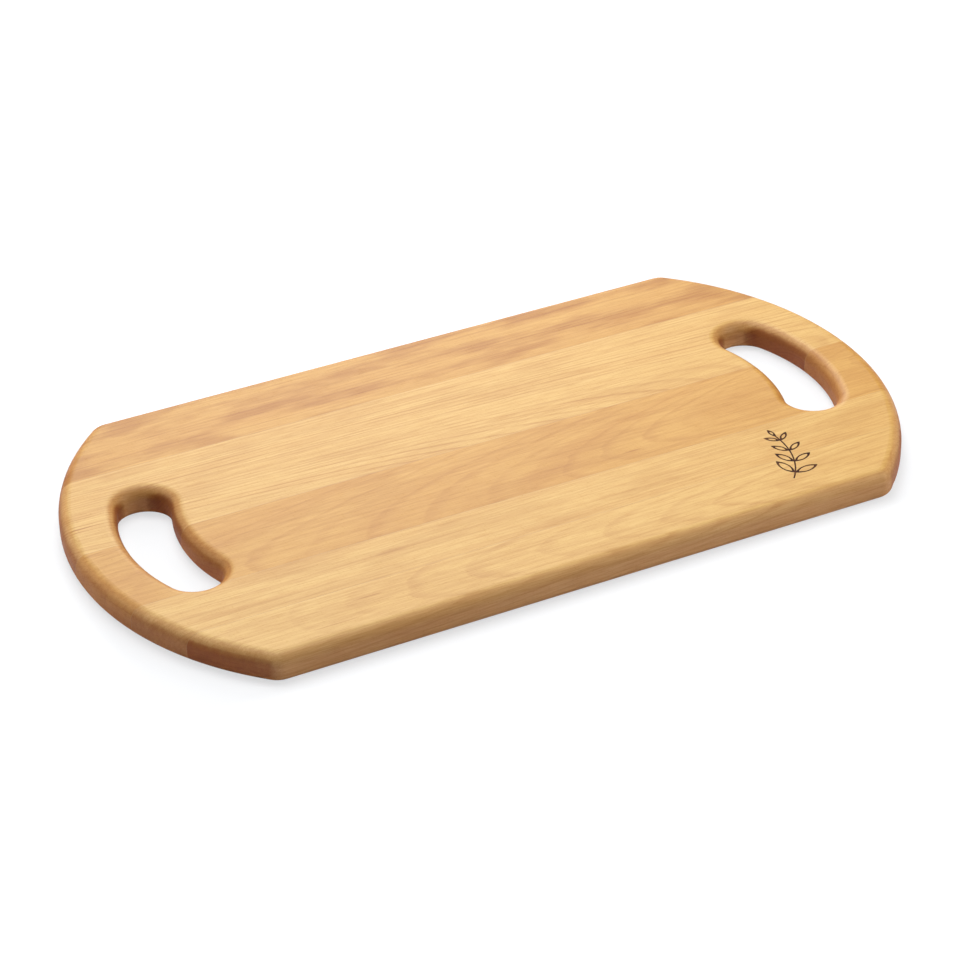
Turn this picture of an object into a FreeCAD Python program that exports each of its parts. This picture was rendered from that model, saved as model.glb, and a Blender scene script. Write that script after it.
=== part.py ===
"""Carrying board with two hand slots, edge-glued from five staves of pale hardwood.

The blank is glued up, sawn to its bowed ends, slotted and rounded over as one
panel, so every wood piece is a slice of the same finished shape. Each slot lies
half in the middle stave and half in the inner back one, and cuts the joint
between them. A thin film of cured glue fills each joint.

Frame: millimetres. The origin is the centre of the underside, +X runs along the
grain, +Y runs from the front edge to the back edge and +Z is up.
"""

import FreeCAD, Part
import math
import os

# Panel
BOARD_LENGTH = 530.0
BOARD_WIDTH = 282.0
BOARD_THICKNESS = 18.0
END_ARC_RADIUS = 187.0
CORNER_RADIUS = 14.0
TOP_ROUND = 8.0
BOTTOM_ROUND = 5.0

# Hand slots: GRIP_WIDTH is the wood left between a slot and the end of the board
GRIP_WIDTH = 32.5
SLOT_LENGTH = 111.0
SLOT_WIDTH = 33.5
SLOT_END_RADIUS = 16.0
SLOT_OUTER_RADIUS = 117.5

# Glue-up: the staves' widths, named from the front edge to the back edge
STAVES = [
    ("stave_front", 44.0),
    ("stave_inner_front", 39.0),
    ("stave_middle", 64.0),
    ("stave_inner_back", 76.0),
    ("stave_back", 59.0),
]
GLUE_THICKNESS = 0.15

# Burnt ornament: a sprig of outlined leaves along a curved stem
SPRIG_CENTRE_X = 159.0
SPRIG_CENTRE_Y = -97.0
STEM_LENGTH = 50.0
STEM_RADIUS = 60.0
STEM_LEAN = 18.0
LEAF_PAIRS = 4
LEAF_LENGTH = 17.0
LEAF_SHRINK = 0.86
LEAF_SLENDERNESS = 0.36
LEAF_SPREAD = 48.0
LINE_WIDTH = 1.0
MARK_DEPTH = 0.3
CHAR_THICKNESS = 0.2

# Modelling allowances
OVERCUT = 5.0
FLAT_TOLERANCE = 1e-4

UP = FreeCAD.Vector(0, 0, 1)
ALONG_BOARD = FreeCAD.Vector(1, 0, 0)
ORIGIN = FreeCAD.Vector(0, 0, 0)


def at(x, y, z=0.0):
    return FreeCAD.Vector(x, y, z)


def direction(degrees):
    """The plan vector one unit long at this angle from +X."""
    angle = math.radians(degrees)
    return at(math.cos(angle), math.sin(angle))


def plan_face(*curves):
    """The flat face inside a closed chain of plan curves."""
    return Part.Face(Part.Wire([curve.toShape() for curve in curves]))


def board_outline():
    """Two straight sides joined by a shallow arc at each end."""
    half_length = BOARD_LENGTH / 2
    half_width = BOARD_WIDTH / 2
    arc_centre_x = half_length - END_ARC_RADIUS
    corner_x = arc_centre_x + math.sqrt(END_ARC_RADIUS**2 - half_width**2)
    front_left = at(-corner_x, -half_width)
    front_right = at(corner_x, -half_width)
    back_right = at(corner_x, half_width)
    back_left = at(-corner_x, half_width)
    return plan_face(
        Part.LineSegment(front_left, front_right),
        Part.Arc(front_right, at(half_length, 0), back_right),
        Part.LineSegment(back_right, back_left),
        Part.Arc(back_left, at(-half_length, 0), front_left),
    )


def slot_outline():
    """The right hand slot: two bowed sides joined by a round end at each side of the board.

    The outer side is a given arc. The inner side is the one arc that stands
    SLOT_WIDTH away from it at the middle and runs smoothly into both round ends.
    """
    outer_x = BOARD_LENGTH / 2 - GRIP_WIDTH
    outer_centre_x = outer_x - SLOT_OUTER_RADIUS
    inner_x = outer_x - SLOT_WIDTH

    end_y = SLOT_LENGTH / 2 - SLOT_END_RADIUS
    end_reach = SLOT_OUTER_RADIUS - SLOT_END_RADIUS
    end_x = outer_centre_x + math.sqrt(end_reach**2 - end_y**2)

    far_x = inner_x + SLOT_END_RADIUS
    inner_centre_x = (far_x**2 - end_x**2 - end_y**2) / (2 * (far_x - end_x))

    back_end = at(end_x, end_y)
    outwards = (back_end - at(outer_centre_x, 0)).normalize()
    inwards = (at(inner_centre_x, 0) - back_end).normalize()
    outer_back = back_end + outwards * SLOT_END_RADIUS
    inner_back = back_end + inwards * SLOT_END_RADIUS
    tip_back = at(end_x, end_y + SLOT_END_RADIUS)
    outer_front = at(outer_back.x, -outer_back.y)
    inner_front = at(inner_back.x, -inner_back.y)
    tip_front = at(tip_back.x, -tip_back.y)
    return plan_face(
        Part.Arc(outer_front, at(outer_x, 0), outer_back),
        Part.Arc(outer_back, tip_back, inner_back),
        Part.Arc(inner_back, at(inner_x, 0), inner_front),
        Part.Arc(inner_front, tip_front, outer_front),
    )


def upright_edges(shape):
    return [edge for edge in shape.Edges if edge.BoundBox.ZLength > BOARD_THICKNESS / 2]


def rim_edges(shape, height):
    """Every edge that lies flat at this height."""
    def is_rim(box):
        return box.ZLength < FLAT_TOLERANCE and abs(box.ZMin - height) < FLAT_TOLERANCE

    return [edge for edge in shape.Edges if is_rim(edge.BoundBox)]


def finished_panel():
    """The whole board before its mark is burnt: sawn, slotted and rounded over on both faces."""
    blank = board_outline().extrude(UP * BOARD_THICKNESS)
    blank = blank.makeFillet(CORNER_RADIUS, upright_edges(blank))
    right_slot = slot_outline().extrude(UP * BOARD_THICKNESS)
    left_slot = right_slot.mirror(ORIGIN, ALONG_BOARD)
    slotted = blank.cut([right_slot, left_slot])
    eased = slotted.makeFillet(TOP_ROUND, rim_edges(slotted, BOARD_THICKNESS))
    return eased.makeFillet(BOTTOM_ROUND, rim_edges(eased, 0.0))


def stem_point(distance):
    """The stem's point and heading, in degrees, this far along it from its foot.

    The stem is an arc that crosses the sprig's centre at half its length.
    """
    turned = math.degrees((distance - STEM_LENGTH / 2) / STEM_RADIUS)
    heading = 90.0 - STEM_LEAN + turned
    arc_centre = at(SPRIG_CENTRE_X, SPRIG_CENTRE_Y) + direction(180.0 - STEM_LEAN) * STEM_RADIUS
    return arc_centre + direction(heading - 90.0) * STEM_RADIUS, heading


def stem_outline():
    """A band of LINE_WIDTH along the stem's arc."""
    rails = []
    for side in (-0.5, 0.5):
        rail = []
        for distance in (0.0, STEM_LENGTH / 2, STEM_LENGTH):
            point, heading = stem_point(distance)
            rail.append(point + direction(heading - 90.0) * LINE_WIDTH * side)
        rails.append(rail)
    left, right = rails
    return plan_face(
        Part.Arc(*right),
        Part.LineSegment(right[2], left[2]),
        Part.Arc(*reversed(left)),
        Part.LineSegment(left[0], right[0]),
    )


def leaf_blade(base, heading, length, width):
    """A pointed leaf: two equal arcs from its base to its tip."""
    tip = base + direction(heading) * length
    middle = (base + tip) * 0.5
    bulge = direction(heading + 90.0) * (width / 2)
    return plan_face(Part.Arc(base, middle + bulge, tip), Part.Arc(tip, middle - bulge, base))


def leaf_outline(base, heading, length):
    """The leaf's edge as a line of about LINE_WIDTH, open in the middle."""
    width = length * LEAF_SLENDERNESS
    inset = LINE_WIDTH / LEAF_SLENDERNESS
    outer = leaf_blade(base, heading, length, width)
    inner_base = base + direction(heading) * inset
    inner = leaf_blade(inner_base, heading, length - 2 * inset, width - 2 * LINE_WIDTH)
    return outer.cut(inner)


def sprig_outlines():
    """The ornament's flat shapes: the stem, pairs of leaves along it and one leaf at its tip."""
    outlines = [stem_outline()]
    for pair in range(LEAF_PAIRS):
        base, heading = stem_point(STEM_LENGTH * (pair + 0.5) / LEAF_PAIRS)
        length = LEAF_LENGTH * LEAF_SHRINK**pair
        for turn in (-LEAF_SPREAD, LEAF_SPREAD):
            outlines.append(leaf_outline(base, heading + turn, length))
    tip, tip_heading = stem_point(STEM_LENGTH - LINE_WIDTH)
    outlines.append(leaf_outline(tip, tip_heading, LEAF_LENGTH * LEAF_SHRINK**LEAF_PAIRS))
    return outlines


def sprig_layer(bottom, height):
    """The ornament's lines as one solid layer of this height above the plane z = bottom."""
    layers = [outline.extrude(UP * height) for outline in sprig_outlines()]
    layer = layers[0].fuse(layers[1:]).removeSplitter()
    layer.translate(UP * bottom)
    return layer


def slab(low_y, high_y):
    """Everything between two planes across the board's width."""
    length = BOARD_LENGTH + 2 * OVERCUT
    height = BOARD_THICKNESS + 2 * OVERCUT
    return Part.makeBox(length, high_y - low_y, height, at(-length / 2, low_y, -OVERCUT))


def pieces_of(shape):
    """The separate solids of a shape, from the left end to the right end."""
    return sorted(shape.Solids, key=lambda solid: solid.CenterOfMass.x)


def named_films(name, shape):
    """Node names for a glue film: the slots leave it whole, or cut it into a left, a centre and a right one."""
    solids = pieces_of(shape)
    if len(solids) == 1:
        return {name: solids[0]}
    left, centre, right = solids
    return {name + "_left_grip": left, name: centre, name + "_right_grip": right}


def staves(panel):
    """The wood pieces, each drawn back from its joints by half the glue's thickness."""
    nodes = {}
    front_y = -BOARD_WIDTH / 2
    for place, (name, width) in enumerate(STAVES):
        back_y = front_y + width
        low_y = front_y - OVERCUT if place == 0 else front_y + GLUE_THICKNESS / 2
        high_y = back_y + OVERCUT if place == len(STAVES) - 1 else back_y - GLUE_THICKNESS / 2
        nodes[name] = panel.common(slab(low_y, high_y)).Solids[0]
        front_y = back_y
    return nodes


def glue_lines(panel):
    """The film in each joint, named after the stave in front of it."""
    nodes = {}
    joint_y = -BOARD_WIDTH / 2
    for name, width in STAVES[:-1]:
        joint_y += width
        film = panel.common(slab(joint_y - GLUE_THICKNESS / 2, joint_y + GLUE_THICKNESS / 2))
        nodes.update(named_films(name.replace("stave", "glue_line"), film))
    return nodes


def burnt_mark():
    """The charred wood on the floor of the mark's lines."""
    return sprig_layer(BOARD_THICKNESS - MARK_DEPTH, CHAR_THICKNESS)


def build_board():
    """Every node of the board by name."""
    panel = finished_panel()
    panel = panel.cut(sprig_layer(BOARD_THICKNESS - MARK_DEPTH, MARK_DEPTH + OVERCUT))
    return {**staves(panel), **glue_lines(panel), "burnt_mark": burnt_mark()}


os.makedirs("parts", exist_ok=True)
for node, shape in build_board().items():
    shape.exportStep("parts/" + node + ".step")
    print(node, "solids", len(shape.Solids), "volume", round(shape.Volume, 1), "valid", shape.isValid())
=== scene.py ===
"""Edge-glued carrying board: its wood, glue and burnt mark finished, in a plain studio.

The frame is the board's own: X along the grain, Y from the front edge to the back
edge, Z up, in metres. Wood is worked out in millimetres from the log each stave was
sawn from, so face, edge and end grain all belong to the same growth rings.
"""

import math

import bmesh
import bpy
from bpy.props import FloatProperty, FloatVectorProperty, IntProperty, PointerProperty
from bpy.types import Operator, Panel, PropertyGroup
from mathutils import Matrix, Vector


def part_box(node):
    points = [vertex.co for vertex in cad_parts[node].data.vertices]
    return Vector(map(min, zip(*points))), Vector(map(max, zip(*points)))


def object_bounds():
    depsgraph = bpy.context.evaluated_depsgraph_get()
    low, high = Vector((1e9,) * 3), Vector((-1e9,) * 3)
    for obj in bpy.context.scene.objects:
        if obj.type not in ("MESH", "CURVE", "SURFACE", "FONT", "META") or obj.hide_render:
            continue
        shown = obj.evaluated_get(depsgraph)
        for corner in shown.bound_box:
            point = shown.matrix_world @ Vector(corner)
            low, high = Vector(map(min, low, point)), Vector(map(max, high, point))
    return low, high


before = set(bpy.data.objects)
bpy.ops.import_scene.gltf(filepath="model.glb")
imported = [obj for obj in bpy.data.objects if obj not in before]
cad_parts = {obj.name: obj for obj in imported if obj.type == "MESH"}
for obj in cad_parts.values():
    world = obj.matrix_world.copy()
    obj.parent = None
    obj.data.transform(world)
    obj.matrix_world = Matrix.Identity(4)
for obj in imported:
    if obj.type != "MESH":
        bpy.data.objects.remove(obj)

bl_info = {
    "name": "Carrying board finishes",
    "version": (1, 0, 0),
    "blender": (4, 5, 0),
    "location": "3D View > Sidebar > Board",
    "description": "Finishes the staves, glue and burnt mark of a carrying board and sets up its studio",
    "category": "Material",
}

CAD_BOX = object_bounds()
MM = 0.001
PER_METRE = 1000.0

# How far each kind of figure in the wood runs along and across the grain, in millimetres
SWEEP_GRAIN = (260.0, 90.0)
WAVE_GRAIN = (70.0, 12.0)
LINE_GRAIN = (60.0, 6.0)
PATCH_GRAIN = (60.0, 15.0)
THREAD_GRAIN = (80.0, 2.2)
FIBRE_GRAIN = (14.0, 0.45)
PORE_GRAIN = (2.6, 0.34)
STREAK_GRAIN = (7.0, 0.7)
# How far one step of the seed moves along and across a noise, in grains, and how many years it moves
SEED_STEP_ALONG = 7.3
SEED_STEP_ACROSS = 3.1
SEED_STEP_YEARS = 50.0

# How far the rings wander over the length of a stave and between neighbouring fibres, in millimetres
SWEEP_SIZE = 8.0
WAVE_SIZE = 1.5
# Good and bad years take turns over this many millimetres of growth, and shift the rings by this many rings
YEARS_SPAN = 11.0
YEARS_SHIFT = 2.0
# A run of darker years is about this many rings wide, and changes over this many millimetres along
BAND_RINGS = 3.2
BAND_LENGTH = 500.0

# A ring's dark line, in shares of the ring's width: where it starts, is full and fades, and the faintest ones
LINE_STARTS = 0.55
LINE_FULL = 0.90
LINE_FADES = 0.92
FAINTEST_YEAR = 0.25
FAINTEST_PATCH = 0.35

# How strongly threads, fibres and pores show in the colour
THREAD_SHARE = 0.6
FIBRE_SHARE = 0.85
PORE_SHARE = 0.35

# What a surface's normal says about it: where each kind of face begins, and where it is fully that kind.
# The first two go by the normal's part along the board, the last two by its part up.
CUT_ACROSS = (0.36, 0.82)
SLANTING = (0.28, 0.62)
UPRIGHT = (0.90, 0.45)
ROUNDED = (0.998, 0.88)

# The hand slots with their rounded edges lie inside this box about the board's middle, in millimetres
SLOT_REACH_X = 241.0
SLOT_REACH_Y = 64.0
SLOT_FADE = 2.0
# How much painted shade every slot's wall takes, and what a slanting wall takes: a least share and a share by
# end shade
SLOT_WALL_SHADE = 0.24
SLANT_SHADE = 0.15
SLANT_SHADE_BY_END_SHADE = 0.75

# Dark mineral streaks in the top face: along, across, length and width in millimetres, and how dark
STREAK_DEPTH = 2.0
STREAK_RAGGED = 0.9
STREAK_SEED = 5
STREAKS = {
    "stave_inner_back": [(-251.0, 32.0, 30.0, 1.2, 0.9)],
    "stave_middle": [
        (77.0, -46.0, 16.0, 1.8, 0.8),
        (-252.0, 2.5, 44.0, 4.5, 0.35),
        (29.0, -41.0, 30.0, 4.0, 0.3),
    ],
    "stave_inner_front": [(-100.0, -75.0, 24.0, 6.0, 0.45)],
    "stave_front": [(-132.0, -110.0, 22.0, 1.6, 0.9), (-158.0, -126.0, 40.0, 1.1, 0.8)],
}

# The walls of the burnt lines, in millimetres: how far below the top face their scorch starts and is full,
# and how far past the char's sides and below its underside it ends and is still full
SCORCH_BELOW_TOP = (0.02, 0.05)
SCORCH_PAST_SIDES = (0.6, 0.3)
SCORCH_PAST_FLOOR = (0.2, 0.1)

# The relief of each finish, in millimetres
WOOD_RELIEF = 0.03
GLUE_RELIEF = 0.01
CHAR_RELIEF = 0.06

# Loose triangles of a node are joined where they meet this closely, and bends over this angle stay sharp
JOIN_DISTANCE = 0.002 * MM
SHARP_CORNER = math.radians(35.0)

# The camera's sensor, in millimetres, and the range that it sees, in metres
SENSOR_WIDTH = 36.0
NEAREST_SEEN = 0.05
FARTHEST_SEEN = 100.0

GLUE_NODES = sorted(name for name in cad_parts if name.startswith("glue_line"))
MARK_NODE = "burnt_mark"
MARKED_STAVES = {"stave_front", "stave_inner_front"}


# ---------------------------------------------------------------- settings


def colour(title, description, default):
    return FloatVectorProperty(
        name=title, description=description, default=default, min=0.0, max=1.0, subtype="COLOR"
    )


def length(title, description, default):
    return FloatProperty(name=title, description=description, default=default, unit="LENGTH", precision=4)


def share(title, description, default):
    return FloatProperty(
        name=title, description=description, default=default, min=0.0, max=1.0, subtype="FACTOR"
    )


def number(title, description, default):
    return FloatProperty(name=title, description=description, default=default, precision=3)


def angle(title, description, degrees):
    return FloatProperty(name=title, description=description, default=math.radians(degrees), subtype="ANGLE")


def stave_group(stave, title, **own):
    """The settings of one stave: where its log's pith ran, and how warm, figured and dark its wood is."""
    fields = {
        "pith_y": length("Pith across", "Where the pith crosses the board's middle, across", own["pith_y"]),
        "pith_z": length("Pith height", "Where the pith crosses the board's middle, up", own["pith_z"]),
        "lean_y": number("Lean across", "How far the pith runs across for each metre along", own["lean_y"]),
        "lean_z": number("Lean up", "How far the pith rises for each metre along", own["lean_z"]),
        "ring_width": length("Ring width", "The mean width of a year's growth", own["ring_width"]),
        "warmth": share("Warmth", "How far its colour goes from pale to warm", own["warmth"]),
        "figure": share("Figure", "How strong its ring lines are", own["figure"]),
        "mottle": share("Mottle", "How brown its patches are", own["mottle"]),
        # End shade: how dark the end grain is, partly its own colour and partly painted shade
        "end_shade": share("End shade", "How dark its end grain is", own["end_shade"]),
        "seed": IntProperty(name="Seed", description="Which log it was sawn from", default=own["seed"]),
    }
    return type("BOARD_PG_" + stave, (PropertyGroup,), {"__annotations__": fields, "__doc__": title})


STAVE_GROUPS = {
    "stave_back": stave_group(
        "stave_back", "Back stave",
        pith_y=0.185, pith_z=-0.060, lean_y=0.0, lean_z=-0.040, ring_width=0.0026,
        warmth=0.92, figure=0.64, mottle=1.0, end_shade=0.55, seed=3,
    ),
    "stave_inner_back": stave_group(
        "stave_inner_back", "Inner back stave",
        pith_y=-0.012, pith_z=-0.046, lean_y=0.0, lean_z=-0.090, ring_width=0.0022,
        warmth=0.05, figure=1.0, mottle=0.32, end_shade=0.8, seed=11,
    ),
    "stave_middle": stave_group(
        "stave_middle", "Middle stave",
        pith_y=-0.0505, pith_z=-0.1080, lean_y=0.120, lean_z=0.072, ring_width=0.0023,
        warmth=0.92, figure=0.56, mottle=0.34, end_shade=0.36, seed=23,
    ),
    "stave_inner_front": stave_group(
        "stave_inner_front", "Inner front stave",
        pith_y=-0.165, pith_z=-0.030, lean_y=0.01, lean_z=0.020, ring_width=0.0022,
        warmth=0.05, figure=0.45, mottle=0.36, end_shade=0.6, seed=31,
    ),
    "stave_front": stave_group(
        "stave_front", "Front stave",
        pith_y=-0.118, pith_z=-0.037, lean_y=-0.02, lean_z=0.075, ring_width=0.0030,
        warmth=0.0, figure=0.52, mottle=0.30, end_shade=1.0, seed=47,
    ),
}


class BOARD_PG_wood(PropertyGroup):
    """Colours and texture that every stave shares."""

    pale: colour("Pale wood", "The lighter staves' colour", (0.614, 0.395, 0.127))
    warm: colour("Warm wood", "The darker staves' colour", (0.540, 0.296, 0.064))
    line_tint: colour("Ring tint", "What a late wood line multiplies the colour by", (0.76, 0.61, 0.44))
    band_tint: colour("Band tint", "What a run of darker years multiplies the colour by", (0.95, 0.90, 0.83))
    mottle_tint: colour("Mottle tint", "What a brown patch multiplies the colour by", (0.77, 0.63, 0.41))
    fibre_tint: colour("Fibre tint", "What a dark fibre multiplies the colour by", (0.84, 0.74, 0.62))
    pore_tint: colour("Pore tint", "What an open pore multiplies the colour by", (0.60, 0.45, 0.32))
    streak_tint: colour("Streak tint", "What a mineral streak multiplies the colour by", (0.72, 0.55, 0.40))
    # Partly the end grain's own darker colour, partly painted shade on the ends and end walls
    end_grain_and_shade_tint: colour("End tint", "What end grain multiplies the colour by", (0.58, 0.34, 0.15))
    # Painted shade: rounded edges and sides toned redder and a little darker than the top
    edge_shade_tint: colour("Edge tint", "What a rounded edge or side multiplies the colour by", (0.96, 0.88, 1.0))
    # Painted shade: darkens the slots' walls and rims, where shade falls inside the slots
    slot_shade_tint: colour("Slot tint", "What oil in a slot's wall multiplies the colour by", (0.68, 0.48, 0.20))
    straighten: length("Straighten", "How far from the pith's line the grain's slope halves", 0.050)
    roughness: share("Roughness", "How matt the oiled wood is", 0.48)


class BOARD_PG_glue(PropertyGroup):
    """The cured glue in the joints."""

    clear: colour("Clear glue", "The glue's colour where the joint is tight", (0.46, 0.28, 0.12))
    thick: colour("Thick glue", "The glue's colour where the joint is open", (0.28, 0.15, 0.06))


class BOARD_PG_mark(PropertyGroup):
    """The burnt sprig."""

    char: colour("Char", "Fully burnt wood", (0.030, 0.010, 0.005))
    scorch: colour("Scorch", "Lightly burnt wood", (0.130, 0.048, 0.018))


def lamp_group(lamp, title, degrees_round, degrees_up, distance, size, watts):
    """The settings of one square lamp that faces the board."""
    fields = {
        "round": angle("Round", "Its place round the board, from the front to the right", degrees_round),
        "up": angle("Up", "The lamp's height above the horizon", degrees_up),
        "distance": length("Distance", "From the lamp to the board's middle", distance),
        "size": length("Size", "The lamp's side", size),
        "watts": FloatProperty(name="Power", description="The lamp's power", default=watts, unit="POWER"),
    }
    return type("BOARD_PG_" + lamp, (PropertyGroup,), {"__annotations__": fields, "__doc__": title})


LAMP_GROUPS = {
    "top_lamp": lamp_group("top_lamp", "Overhead lamp", 180.0, 75.0, 2.0, 1.4, 39.0),
    "back_lamp": lamp_group("back_lamp", "Lamp behind the board", 162.0, 30.0, 2.4, 1.3, 39.0),
    "fill_lamp": lamp_group("fill_lamp", "Lamp to the front and right", 55.0, 35.0, 1.3, 0.8, 7.0),
    "side_lamp": lamp_group("side_lamp", "Lamp behind and to the left", -128.0, 28.0, 2.4, 1.3, 17.0),
}


class BOARD_PG_studio(PropertyGroup):
    """Floor, lamps and camera."""

    floor: colour("Floor", "The floor's colour where its shadows are seen", (0.280, 0.283, 0.288))
    floor_glow: colour("Floor glow", "The floor's own light, which fills its shadows", (0.645, 0.652, 0.660))
    floor_bounce: colour("Floor bounce", "The light that the floor sends to the board", (0.90, 0.82, 0.93))
    glow_width: length("Glow width", "How far from the board the floor becomes fully bright", 0.043)
    floor_size: length("Floor size", "Side of the square floor", 24.0)
    azimuth: angle("Azimuth", "The camera's place round the board, from the front edge", -26.51)
    elevation: angle("Elevation", "The camera's height above the horizon", 32.74)
    roll: angle("Roll", "The camera's turn about its own line of sight", -0.93)
    distance: length("Distance", "From the camera to the point that it looks at", 1.9058)
    aim_x: length("Aim along", "The point that the camera looks at, along the board", -0.0076)
    aim_y: length("Aim across", "The point that the camera looks at, across the board", -0.0063)
    lens: number("Lens", "Focal length on a 36 mm sensor, in millimetres", 117.05)


# ---------------------------------------------------------------- shader maths


class Value:
    """One value in a material. Arithmetic on it adds the Math nodes that work it out."""

    def __init__(self, finish, socket):
        self.finish = finish
        self.socket = socket

    def also(self, output):
        """Another output of the same node."""
        return Value(self.finish, self.socket.node.outputs[output])

    def __add__(self, other):
        return self.finish.math("ADD", self, other)

    def __sub__(self, other):
        return self.finish.math("SUBTRACT", self, other)

    def __rsub__(self, other):
        return self.finish.math("SUBTRACT", other, self)

    def __mul__(self, other):
        return self.finish.math("MULTIPLY", self, other)

    def __truediv__(self, other):
        return self.finish.math("DIVIDE", self, other)

    __radd__ = __add__
    __rmul__ = __mul__


class Finish:
    """A material under construction."""

    def __init__(self, name):
        self.material = bpy.data.materials.new(name)
        self.material.use_nodes = True
        self.tree = self.material.node_tree
        self.tree.nodes.clear()

    def add(self, kind, settings, sockets, output=0):
        """Adds a node: its settings first, then its sockets' values or links. Returns one of its outputs."""
        node = self.tree.nodes.new(kind)
        for name, setting in settings.items():
            setattr(node, name, setting)
        for name, value in sockets.items():
            if isinstance(value, Value):
                self.tree.links.new(value.socket, node.inputs[name])
            else:
                node.inputs[name].default_value = value
        return Value(self, node.outputs[output] if node.outputs else None)

    def math(self, operation, *values):
        return self.add("ShaderNodeMath", {"operation": operation}, dict(enumerate(values)))

    def rise(self, value, low, high):
        """0 below low, 1 above high and a smooth rise between them. With low above high it falls instead."""
        settings = {"interpolation_type": "SMOOTHSTEP"}
        return self.add("ShaderNodeMapRange", settings, {"Value": value, "From Min": low, "From Max": high})

    def vector(self, x, y, z):
        return self.add("ShaderNodeCombineXYZ", {}, {"X": x, "Y": y, "Z": z})

    def parts(self, vector):
        """The three numbers of a vector."""
        x = self.add("ShaderNodeSeparateXYZ", {}, {"Vector": vector})
        return x, x.also("Y"), x.also("Z")

    def noise(self, point, detail=2.0, rough=0.5):
        """Smooth noise between about 0 and 1, with a mean of 0.5 and grains about one unit wide."""
        sockets = {"Vector": point, "Scale": 1.0, "Detail": detail, "Roughness": rough}
        return self.add("ShaderNodeTexNoise", {"noise_dimensions": "3D"}, sockets)

    def tint(self, base, colour_by, amount):
        """base multiplied by a colour, by this amount."""
        settings = {"data_type": "RGBA", "blend_type": "MULTIPLY"}
        return self.add("ShaderNodeMix", settings, {0: amount, 6: base, 7: opaque(colour_by)}, 2)

    def blend(self, first, second, amount):
        """From one colour to another."""
        return self.add("ShaderNodeMix", {"data_type": "RGBA"}, {0: amount, 6: first, 7: second}, 2)

    def surface(self, base, roughness, height, depth, shine=0.35):
        """Ends the material: its colour, its roughness, and a relief this many millimetres deep."""
        bump = self.add("ShaderNodeBump", {}, {"Strength": 1.0, "Distance": depth * MM, "Height": height})
        sockets = {"Base Color": base, "Roughness": roughness, "Normal": bump, "Specular IOR Level": shine}
        shader = self.add("ShaderNodeBsdfPrincipled", {}, sockets)
        self.add("ShaderNodeOutputMaterial", {}, {"Surface": shader})
        return self.material


def opaque(shade):
    """A colour as the four numbers that a socket takes."""
    return (*shade, 1.0)


def mixed(first, second, amount):
    """A colour between two, worked out in Python."""
    return tuple(a + (b - a) * amount for a, b in zip(first, second))


def at_least(least, value):
    """A value from 0 to 1, lifted so that it never falls below this share."""
    return least + (1.0 - least) * value


# ---------------------------------------------------------------- wood


def wood_point(finish):
    """The point on the board in millimetres, as three values."""
    here = finish.add("ShaderNodeTexCoord", {}, {}, "Object")
    x, y, z = finish.parts(here)
    return x * PER_METRE, y * PER_METRE, z * PER_METRE


def stretched(x, y, z, grain, seed):
    """A point for a noise whose grains are this long and wide. Each seed shows another part of it."""
    along, across = grain
    moved_x = x / along + seed * SEED_STEP_ALONG
    moved_y = y / across + seed * SEED_STEP_ACROSS
    return x.finish.vector(moved_x, moved_y, z / across)


def growth(finish, log, palette, x, y, z):
    """How many rings lie between the pith and this point, as a running number.

    The pith leans, so a face cuts the rings in nested arches. The lean fades away
    from the pith's line, where the grain runs straight along the board.
    """
    sweep = finish.noise(stretched(x, y, z, SWEEP_GRAIN, log.seed), detail=1.0) - 0.5
    wave = finish.noise(stretched(x, y, z, WAVE_GRAIN, log.seed + 1)) - 0.5
    across = y - x * log.lean_y - log.pith_y * PER_METRE + sweep * SWEEP_SIZE
    spread = across / (palette.straighten * PER_METRE)
    up = z - x * log.lean_z / (1.0 + spread * spread) - log.pith_z * PER_METRE
    radius = finish.math("SQRT", across * across + up * up) + wave * WAVE_SIZE
    years = finish.noise(finish.vector(radius / YEARS_SPAN, log.seed, 0.0), detail=1.0)
    return radius / (log.ring_width * PER_METRE) + years * YEARS_SHIFT


def late_wood(finish, rings, x, y, z, seed):
    """The dark line that ends each ring: 0 in open wood, 1 on a strong line."""
    year = finish.math("FLOOR", rings)
    through = finish.math("FRACT", rings)
    year_number = year + seed * SEED_STEP_YEARS
    strength = finish.add("ShaderNodeTexWhiteNoise", {"noise_dimensions": "1D"}, {"W": year_number})
    patchy = finish.rise(finish.noise(stretched(x, y, z, LINE_GRAIN, seed), detail=3.0), 0.30, 0.70)
    line = finish.rise(through, LINE_STARTS, LINE_FULL) * finish.rise(through, 1.0, LINE_FADES)
    return line * at_least(FAINTEST_YEAR, strength) * at_least(FAINTEST_PATCH, patchy)


def facing(finish):
    """Three values: 1 where a wall cuts across the fibres, 1 where it starts to, and 1 on edges and sides."""
    normal = finish.add("ShaderNodeTexCoord", {}, {}, "Normal")
    x, y, z = finish.parts(normal)
    along = finish.math("ABSOLUTE", x)
    up = finish.math("ABSOLUTE", z)
    upright = finish.rise(up, *UPRIGHT)
    end = finish.rise(along, *CUT_ACROSS) * upright
    slanting = finish.rise(along, *SLANTING) * upright
    return end, slanting, finish.rise(up, *ROUNDED)


def beside_slots(finish, x, y):
    """1 on the hand slots' walls and rounded edges, and on the wood between the two slots."""
    across = finish.rise(finish.math("ABSOLUTE", y), SLOT_REACH_Y + SLOT_FADE, SLOT_REACH_Y)
    along = finish.rise(finish.math("ABSOLUTE", x), SLOT_REACH_X + SLOT_FADE, SLOT_REACH_X)
    return across * along


def pores(finish, x, y, z, seed):
    """Short dark dashes on a face and dots on end grain, where vessels are cut."""
    point = stretched(x, y, z, PORE_GRAIN, seed)
    cell = finish.add("ShaderNodeTexVoronoi", {"feature": "F1"}, {"Vector": point, "Scale": 1.0})
    chosen = finish.rise(finish.parts(cell.also("Color"))[0], 0.50, 0.62)
    return finish.rise(cell, 0.34, 0.16) * chosen


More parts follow.
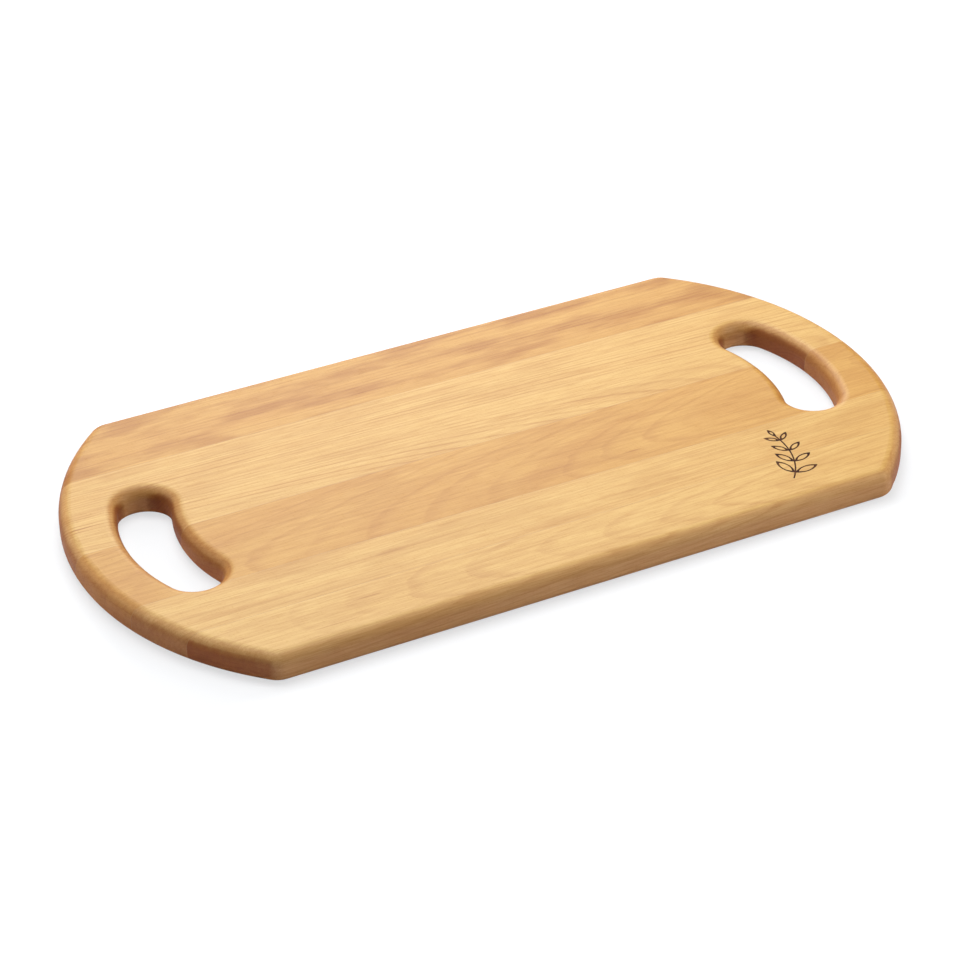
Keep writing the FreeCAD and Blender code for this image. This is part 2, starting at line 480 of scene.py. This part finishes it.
def scorched_walls(finish, x, y, z):
    """1 on the walls of the burnt lines, between the top face and the char on their floor."""
    low, high = (corner * PER_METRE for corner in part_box(MARK_NODE))
    top = CAD_BOX[1].z * PER_METRE
    start, full = SCORCH_BELOW_TOP
    scorched = finish.rise(z, top - start, top - full)
    end, full = SCORCH_PAST_SIDES
    for place, axis in ((x, 0), (y, 1)):
        scorched = finish.rise(place, low[axis] - end, low[axis] - full) * scorched
        scorched = finish.rise(place, high[axis] + end, high[axis] + full) * scorched
    end, full = SCORCH_PAST_FLOOR
    return finish.rise(z, low.z - end, low.z - full) * scorched


def mineral_streaks(finish, streaks, x, y, z):
    """1 inside a stave's few dark streaks, which lie just under the top face."""
    top = CAD_BOX[1].z * PER_METRE
    ragged = finish.noise(stretched(x, y, z, STREAK_GRAIN, STREAK_SEED)) * STREAK_RAGGED
    down = (z - top) / STREAK_DEPTH
    total = 0.0
    for along, across, streak_length, width, strength in streaks:
        x_share = (x - along) / (streak_length / 2)
        y_share = (y - across) / (width / 2)
        away = x_share * x_share + y_share * y_share + down * down + ragged
        total = total + finish.rise(away, 1.5, 0.3) * strength
    return total


def sawn_colour(finish, log, palette, rings, x, y, z):
    """The stave's own colour with its brown patches, darker years and long threads."""
    years = finish.vector(rings / BAND_RINGS, log.seed + x / BAND_LENGTH, 0.0)
    band = finish.rise(finish.noise(years), 0.35, 0.70)
    patch = finish.rise(finish.noise(stretched(x, y, z, PATCH_GRAIN, log.seed + 3), detail=3.0), 0.40, 0.66)
    thread = finish.rise(finish.noise(stretched(x, y, z, THREAD_GRAIN, log.seed + 4)), 0.35, 0.75)
    base = opaque(mixed(palette.pale, palette.warm, log.warmth))
    base = finish.tint(base, palette.mottle_tint, patch * log.mottle)
    base = finish.tint(base, palette.band_tint, band)
    return finish.tint(base, palette.fibre_tint, thread * THREAD_SHARE)


def end_grain_and_painted_shade(finish, base, log, palette, facings, x, y):
    """Darkens end grain and the slots' walls, where the oil soaks in, and tones the rounded edges."""
    end, slanting, side = facings
    slant_shade = SLANT_SHADE + SLANT_SHADE_BY_END_SHADE * log.end_shade
    slot_wall_shade = finish.math("MAXIMUM", slanting * slant_shade, side * SLOT_WALL_SHADE)
    # End grain darkened: partly its own colour, partly painted shade
    base = finish.tint(base, palette.end_grain_and_shade_tint, end * log.end_shade)
    # Painted shade on the slots' walls and rims
    base = finish.tint(base, palette.slot_shade_tint, slot_wall_shade * beside_slots(finish, x, y))
    # Painted shade on the rounded edges and sides
    return finish.tint(base, palette.edge_shade_tint, side)


def wood(name, log, palette, streaks, mark=None):
    """The finish of a stave: growth rings, mottling, fibres, pores and darker end grain."""
    finish = Finish(name)
    x, y, z = wood_point(finish)
    rings = growth(finish, log, palette, x, y, z)
    line = late_wood(finish, rings, x, y, z, log.seed + 2) * log.figure
    fibre = finish.noise(stretched(x, y, z, FIBRE_GRAIN, log.seed + 5), rough=0.6)
    pore = pores(finish, x, y, z, log.seed + 6)
    facings = facing(finish)

    base = sawn_colour(finish, log, palette, rings, x, y, z)
    base = finish.tint(base, palette.line_tint, line)
    base = finish.tint(base, palette.fibre_tint, finish.rise(fibre, 0.35, 0.75) * FIBRE_SHARE)
    base = finish.tint(base, palette.pore_tint, pore * PORE_SHARE)
    if streaks:
        base = finish.tint(base, palette.streak_tint, mineral_streaks(finish, streaks, x, y, z))
    base = end_grain_and_painted_shade(finish, base, log, palette, facings, x, y)
    if mark:
        base = finish.blend(base, opaque(mark.scorch), scorched_walls(finish, x, y, z))
    roughness = palette.roughness + fibre * 0.10 + pore * 0.2 + facings[0] * 0.12
    height = 1.0 - fibre * 0.25 - pore * 0.6 - line * 0.15
    return finish.surface(base, roughness, height, WOOD_RELIEF)


def cured_glue(glue):
    """Brown and glassy, darker where the joint was a little open."""
    finish = Finish("cured_glue")
    x, y, z = wood_point(finish)
    gap = finish.rise(finish.noise(finish.vector(x / 22.0, y / 5.0, z / 6.0), detail=3.0), 0.35, 0.7)
    grain = finish.noise(finish.vector(x / 1.4, y / 0.5, z / 0.5))
    base = finish.blend(opaque(glue.clear), opaque(glue.thick), gap * 0.7 + grain * 0.3)
    return finish.surface(base, 0.30 + grain * 0.25, grain, GLUE_RELIEF)


def burnt_wood(mark):
    """Char with scorched fibres showing through it."""
    finish = Finish("burnt_wood")
    x, y, z = wood_point(finish)
    fibre = finish.noise(finish.vector(x / 3.0, y / 0.35, z / 0.35), detail=3.0, rough=0.6)
    heat = finish.noise(finish.vector(x / 5.0, y / 5.0, z / 5.0))
    lightly = finish.rise(fibre * 0.6 + heat * 0.4, 0.42, 0.72)
    base = finish.blend(opaque(mark.char), opaque(mark.scorch), lightly)
    return finish.surface(base, 0.7 + fibre * 0.2, fibre, CHAR_RELIEF, shine=0.15)


# ---------------------------------------------------------------- meshes


def joined_faces_group():
    """A group of nodes that joins a part's loose triangles and marks its true corners sharp."""
    group = bpy.data.node_groups.new("joined_faces", "GeometryNodeTree")
    group.interface.new_socket("Geometry", in_out="INPUT", socket_type="NodeSocketGeometry")
    group.interface.new_socket("Geometry", in_out="OUTPUT", socket_type="NodeSocketGeometry")
    start = group.nodes.new("NodeGroupInput")
    end = group.nodes.new("NodeGroupOutput")
    merge = group.nodes.new("GeometryNodeMergeByDistance")
    merge.inputs["Distance"].default_value = JOIN_DISTANCE
    edge = group.nodes.new("GeometryNodeInputMeshEdgeAngle")
    corner = group.nodes.new("FunctionNodeCompare")
    corner.operation = "GREATER_THAN"
    corner.inputs[1].default_value = SHARP_CORNER
    sharp = group.nodes.new("GeometryNodeSetShadeSmooth")
    sharp.domain = "EDGE"
    sharp.inputs["Shade Smooth"].default_value = False
    group.links.new(start.outputs[0], merge.inputs["Geometry"])
    group.links.new(merge.outputs[0], sharp.inputs[0])
    group.links.new(edge.outputs["Unsigned Angle"], corner.inputs[0])
    group.links.new(corner.outputs[0], sharp.inputs["Selection"])
    group.links.new(sharp.outputs[0], end.inputs[0])
    return group


def shade_routed_edges(piece, group):
    """Lets a rounded edge run into the flat faces with no crease, and keeps the joints' corners crisp."""
    joined = piece.modifiers.new("joined faces", "NODES")
    joined.node_group = group
    shading = piece.modifiers.new("edge shading", "WEIGHTED_NORMAL")
    shading.mode = "FACE_AREA"
    shading.keep_sharp = True


def give(names, material):
    """Puts a material on CAD nodes."""
    for name in names:
        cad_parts[name].material_slots[0].material = material


# ---------------------------------------------------------------- operators


def board_settings(context):
    return context.scene.carrying_board


class BOARD_OT_shade_edges(Operator):
    """Shade rounded edges smoothly and keep true corners crisp"""

    bl_idname = "board.shade_edges"
    bl_label = "Shade rounded edges"

    def execute(self, context):
        group = joined_faces_group()
        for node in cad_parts.values():
            shade_routed_edges(node, group)
        return {"FINISHED"}


class BOARD_OT_finish_staves(Operator):
    """Give every stave the wood of its own log"""

    bl_idname = "board.finish_staves"
    bl_label = "Finish staves"

    def execute(self, context):
        settings = board_settings(context)
        for stave in STAVE_GROUPS:
            name = stave.replace("stave", "wood")
            log = getattr(settings, stave)
            mark = settings.mark if stave in MARKED_STAVES else None
            give([stave], wood(name, log, settings.wood, STREAKS.get(stave), mark))
        return {"FINISHED"}


class BOARD_OT_finish_glue(Operator):
    """Finish the cured glue in the joints"""

    bl_idname = "board.finish_glue"
    bl_label = "Finish glue lines"

    def execute(self, context):
        give(GLUE_NODES, cured_glue(board_settings(context).glue))
        return {"FINISHED"}


class BOARD_OT_finish_mark(Operator):
    """Finish the char on the floor of the burnt sprig"""

    bl_idname = "board.finish_mark"
    bl_label = "Finish burnt mark"

    def execute(self, context):
        give([MARK_NODE], burnt_wood(board_settings(context).mark))
        return {"FINISHED"}


class BOARD_OT_studio(Operator):
    """Lay the floor, hang the lamps and place the camera"""

    bl_idname = "board.studio"
    bl_label = "Set up studio"

    def execute(self, context):
        studio = board_settings(context).studio
        lay_floor(context.scene, studio)
        paint_room(context.scene)
        for lamp in LAMP_GROUPS:
            hang_lamp(context.scene, lamp, getattr(board_settings(context), lamp))
        place_camera(context.scene, studio)
        return {"FINISHED"}


def lay_floor(scene, studio):
    shape = bmesh.new()
    bmesh.ops.create_grid(shape, x_segments=1, y_segments=1, size=studio.floor_size / 2)
    mesh = bpy.data.meshes.new("floor")
    shape.to_mesh(mesh)
    shape.free()
    floor = bpy.data.objects.new("floor", mesh)
    scene.collection.objects.link(floor)
    mesh.materials.append(floor_paint(studio))


def floor_paint(studio):
    """White with a glow of its own, so that its shadows stay pale. The glow doesn't light the board."""
    finish = Finish("floor_paint")
    x, y, z = finish.parts(finish.add("ShaderNodeTexCoord", {}, {}, "Object"))
    past_end = finish.math("ABSOLUTE", x) - CAD_BOX[1].x
    past_side = finish.math("ABSOLUTE", y) - CAD_BOX[1].y
    brighter = finish.rise(finish.math("MAXIMUM", past_end, past_side), 0.0, studio.glow_width)
    light = finish.blend(opaque(studio.floor_glow), (1.0, 1.0, 1.0, 1.0), brighter)
    glow = finish.add("ShaderNodeEmission", {}, {"Color": light})
    painted = finish.add("ShaderNodeBsdfDiffuse", {}, {"Color": opaque(studio.floor)})
    seen = finish.add("ShaderNodeAddShader", {}, {0: painted, 1: glow})
    bounced = finish.add("ShaderNodeBsdfDiffuse", {}, {"Color": opaque(studio.floor_bounce)})
    looked_at = finish.add("ShaderNodeLightPath", {}, {}, "Is Camera Ray")
    shader = finish.add("ShaderNodeMixShader", {}, {0: looked_at, 1: bounced, 2: seen})
    finish.add("ShaderNodeOutputMaterial", {}, {"Surface": shader})
    return finish.material


def paint_room(scene):
    """A white room all round, which is seen but gives the board no light."""
    world = bpy.data.worlds.new("studio")
    scene.world = world
    world.use_nodes = True
    tree = world.node_tree
    walls = tree.nodes["Background"]
    walls.inputs["Color"].default_value = (1.0, 1.0, 1.0, 1.0)
    looked_at = tree.nodes.new("ShaderNodeLightPath")
    tree.links.new(looked_at.outputs["Is Camera Ray"], walls.inputs["Strength"])


def hang_lamp(scene, name, settings):
    """A square lamp that faces the board's middle."""
    data = bpy.data.lights.new(name, "AREA")
    data.shape = "SQUARE"
    data.size = settings.size
    data.energy = settings.watts
    lamp = bpy.data.objects.new(name, data)
    scene.collection.objects.link(lamp)
    towards = outwards(settings.round, settings.up)
    turn = towards.to_track_quat("Z", "Y").to_matrix().to_4x4()
    lamp.matrix_world = Matrix.Translation(towards * settings.distance) @ turn


def outwards(round_board, above_horizon):
    """The direction from the board to something this far round it from the front edge, and this far up."""
    level = math.cos(above_horizon)
    return Vector((math.sin(round_board) * level, -math.cos(round_board) * level, math.sin(above_horizon)))


def place_camera(scene, studio):
    data = bpy.data.cameras.new("camera")
    data.sensor_width = SENSOR_WIDTH
    data.lens = studio.lens
    data.clip_start = NEAREST_SEEN
    data.clip_end = FARTHEST_SEEN
    camera = bpy.data.objects.new("camera", data)
    scene.collection.objects.link(camera)
    back = outwards(studio.azimuth, studio.elevation)
    aim = Vector((studio.aim_x, studio.aim_y, 0.0))
    turn = back.to_track_quat("Z", "Y").to_matrix() @ Matrix.Rotation(studio.roll, 3, "Z")
    camera.matrix_world = Matrix.Translation(aim + back * studio.distance) @ turn.to_4x4()
    scene.camera = camera
    scene.view_settings.view_transform = "Standard"


class BOARD_PT_panel(Panel):
    """Lists the board's finishes and the studio"""

    bl_label = "Carrying board"
    bl_idname = "BOARD_PT_panel"
    bl_space_type = "VIEW_3D"
    bl_region_type = "UI"
    bl_category = "Board"

    def draw(self, context):
        settings = board_settings(context)
        for operator in OPERATORS:
            self.layout.operator(operator.bl_idname)
        for group in settings.bl_rna.properties:
            if group.type != "POINTER" or group.identifier == "rna_type":
                continue
            box = self.layout.box()
            box.label(text=group.name)
            values = getattr(settings, group.identifier)
            for field in values.__annotations__:
                box.prop(values, field)


OPERATORS = (
    BOARD_OT_shade_edges,
    BOARD_OT_finish_staves,
    BOARD_OT_finish_glue,
    BOARD_OT_finish_mark,
    BOARD_OT_studio,
)


class BOARD_PG_board(PropertyGroup):
    """Everything that can be changed."""

    wood: PointerProperty(name="Wood", type=BOARD_PG_wood)
    glue: PointerProperty(name="Glue", type=BOARD_PG_glue)
    mark: PointerProperty(name="Burnt mark", type=BOARD_PG_mark)
    studio: PointerProperty(name="Studio", type=BOARD_PG_studio)


for group_name, group in {**STAVE_GROUPS, **LAMP_GROUPS}.items():
    BOARD_PG_board.__annotations__[group_name] = PointerProperty(name=group.__doc__, type=group)

CLASSES = (
    *STAVE_GROUPS.values(),
    *LAMP_GROUPS.values(),
    BOARD_PG_wood,
    BOARD_PG_glue,
    BOARD_PG_mark,
    BOARD_PG_studio,
    BOARD_PG_board,
    *OPERATORS,
    BOARD_PT_panel,
)


def register():
    for cls in CLASSES:
        bpy.utils.register_class(cls)
    bpy.types.Scene.carrying_board = PointerProperty(type=BOARD_PG_board)


def unregister():
    del bpy.types.Scene.carrying_board
    for cls in reversed(CLASSES):
        bpy.utils.unregister_class(cls)


def main():
    register()
    bpy.ops.board.shade_edges()
    bpy.ops.board.finish_staves()
    bpy.ops.board.finish_glue()
    bpy.ops.board.finish_mark()
    bpy.ops.board.studio()


if __name__ == "__main__":
    main()
